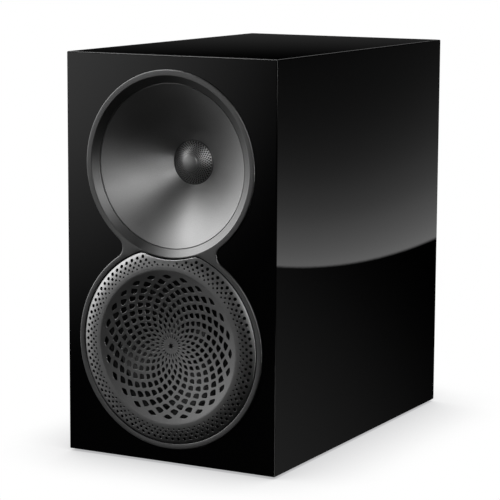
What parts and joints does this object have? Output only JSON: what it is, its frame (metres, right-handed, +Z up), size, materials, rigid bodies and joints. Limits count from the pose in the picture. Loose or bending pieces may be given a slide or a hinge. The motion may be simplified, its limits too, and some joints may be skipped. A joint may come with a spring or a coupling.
{
  "type": "bookshelf speaker",
  "caption": "Gloss black bookshelf loudspeaker with a waveguide tweeter above a woofer behind a perforated metal lens, rear port and binding posts.",
  "frame": {"origin": "centre of the overall box, on the surface the feet stand on", "axes": "+X across the front from its left to its right, -Y out of the front where the drivers face, +Z up"},
  "size_m": [0.2, 0.3391, 0.345],
  "materials": {
    "lacquer": "polished black lacquer over board, mirror gloss",
    "mdf": "raw fibreboard",
    "felt": "fibre damping felt",
    "rubber": "matt black rubber",
    "trim_metal": "fine-blasted dark grey anodised",
    "lens_metal": "fine-blasted grey anodised, perforated",
    "waveguide_metal": "satin grey anodised with fine grain",
    "grid_metal": "satin dark grey, perforated",
    "silk": "coated textile",
    "copper": "enamelled copper wire",
    "steel": "turned steel",
    "ferrite": "sintered ferrite",
    "black_plastic": "moulded black plastic",
    "red_plastic": "clear-tinted red cap",
    "screw_steel": "black-plated steel",
    "cast_basket": "powder-coated casting",
    "cone_grey": "coated fibre, satin",
    "spider_cloth": "resin-treated cloth",
    "gold": "gold-plated brass",
    "board_green": "solder-masked circuit board",
    "film_yellow": "wrapped film capacitor",
    "ceramic": "cement resistor body",
    "cable": "soft insulated lead"
  },
  "bodies": {
    "cabinet": {"cabinet_shell": "lacquer", "rear_panel": "lacquer", "window_brace": "mdf", "damping_pad_left": "felt", "damping_pad_right": "felt", "foot_front_left": "rubber", "foot_front_right": "rubber", "foot_rear_left": "rubber", "foot_rear_right": "rubber", "driver_trim_plate": "trim_metal", "woofer_lens": "lens_metal", "tweeter_waveguide": "waveguide_metal", "tweeter_lens": "grid_metal", "tweeter_surround": "silk", "tweeter_top_plate": "steel", "tweeter_magnet": "ferrite", "tweeter_pole_plate": "steel", "tweeter_rear_chamber": "black_plastic", "tweeter_screw_1": "screw_steel", "tweeter_screw_2": "screw_steel", "tweeter_screw_3": "screw_steel", "tweeter_screw_4": "screw_steel", "woofer_basket": "cast_basket", "woofer_screw_1": "screw_steel", "woofer_screw_2": "screw_steel", "woofer_screw_3": "screw_steel", "woofer_screw_4": "screw_steel", "woofer_surround": "rubber", "woofer_spider": "spider_cloth", "woofer_top_plate": "steel", "woofer_magnet": "ferrite", "woofer_pole_yoke": "steel", "woofer_lens_spacer": "black_plastic", "port_tube": "black_plastic", "terminal_cup": "black_plastic", "cup_screw_1": "screw_steel", "cup_screw_2": "screw_steel", "cup_screw_3": "screw_steel", "cup_screw_4": "screw_steel", "post_stud_black": "gold", "post_stud_red": "gold", "crossover_board": "board_green", "inductor_woofer": "copper", "inductor_tweeter": "copper", "capacitor_woofer": "film_yellow", "capacitor_tweeter": "film_yellow", "crossover_resistor": "ceramic", "input_cable": "cable", "woofer_cable": "cable", "tweeter_cable": "cable"},
    "woofer_moving": {"woofer_cone": "cone_grey", "woofer_dust_cap": "cone_grey", "woofer_coil_former": "cone_grey", "woofer_voice_coil": "copper"},
    "tweeter_moving": {"tweeter_dome": "silk", "tweeter_voice_coil": "copper"},
    "washer_red": {"post_washer_red": "gold"},
    "cap_red": {"post_cap_red": "red_plastic"},
    "washer_black": {"post_washer_black": "gold"},
    "cap_black": {"post_cap_black": "black_plastic"}
  },
  "joints": [
    {"name": "woofer_stroke", "type": "slide", "parent": "cabinet", "child": "woofer_moving", "axis": [0, -1, 0], "range_m": [-0.005, 0.005], "stiffness_N_per_m": 1100, "deforming": ["woofer_surround", "woofer_spider"]},
    {"name": "tweeter_stroke", "type": "slide", "parent": "cabinet", "child": "tweeter_moving", "axis": [0, -1, 0], "range_m": [-0.0005, 0.0005], "stiffness_N_per_m": 200, "deforming": ["tweeter_surround"]},
    {"name": "post_red_travel", "type": "slide", "parent": "cabinet", "child": "washer_red", "axis": [0, 1, 0], "range_m": [0, 0.005]},
    {"name": "post_red_turn", "type": "hinge", "parent": "washer_red", "child": "cap_red", "pos_m": [0.019, 0.165, 0.097], "axis": [0, 1, 0], "range_deg": [0, 1800]},
    {"name": "post_black_travel", "type": "slide", "parent": "cabinet", "child": "washer_black", "axis": [0, 1, 0], "range_m": [0, 0.005]},
    {"name": "post_black_turn", "type": "hinge", "parent": "washer_black", "child": "cap_black", "pos_m": [-0.019, 0.165, 0.097], "axis": [0, 1, 0], "range_deg": [0, 1800]}
  ],
  "couplings": [
    {"joint": "post_red_turn", "follows": "post_red_travel", "rad_per_m": 6283.2},
    {"joint": "post_black_turn", "follows": "post_black_travel", "rad_per_m": 6283.2}
  ]
}
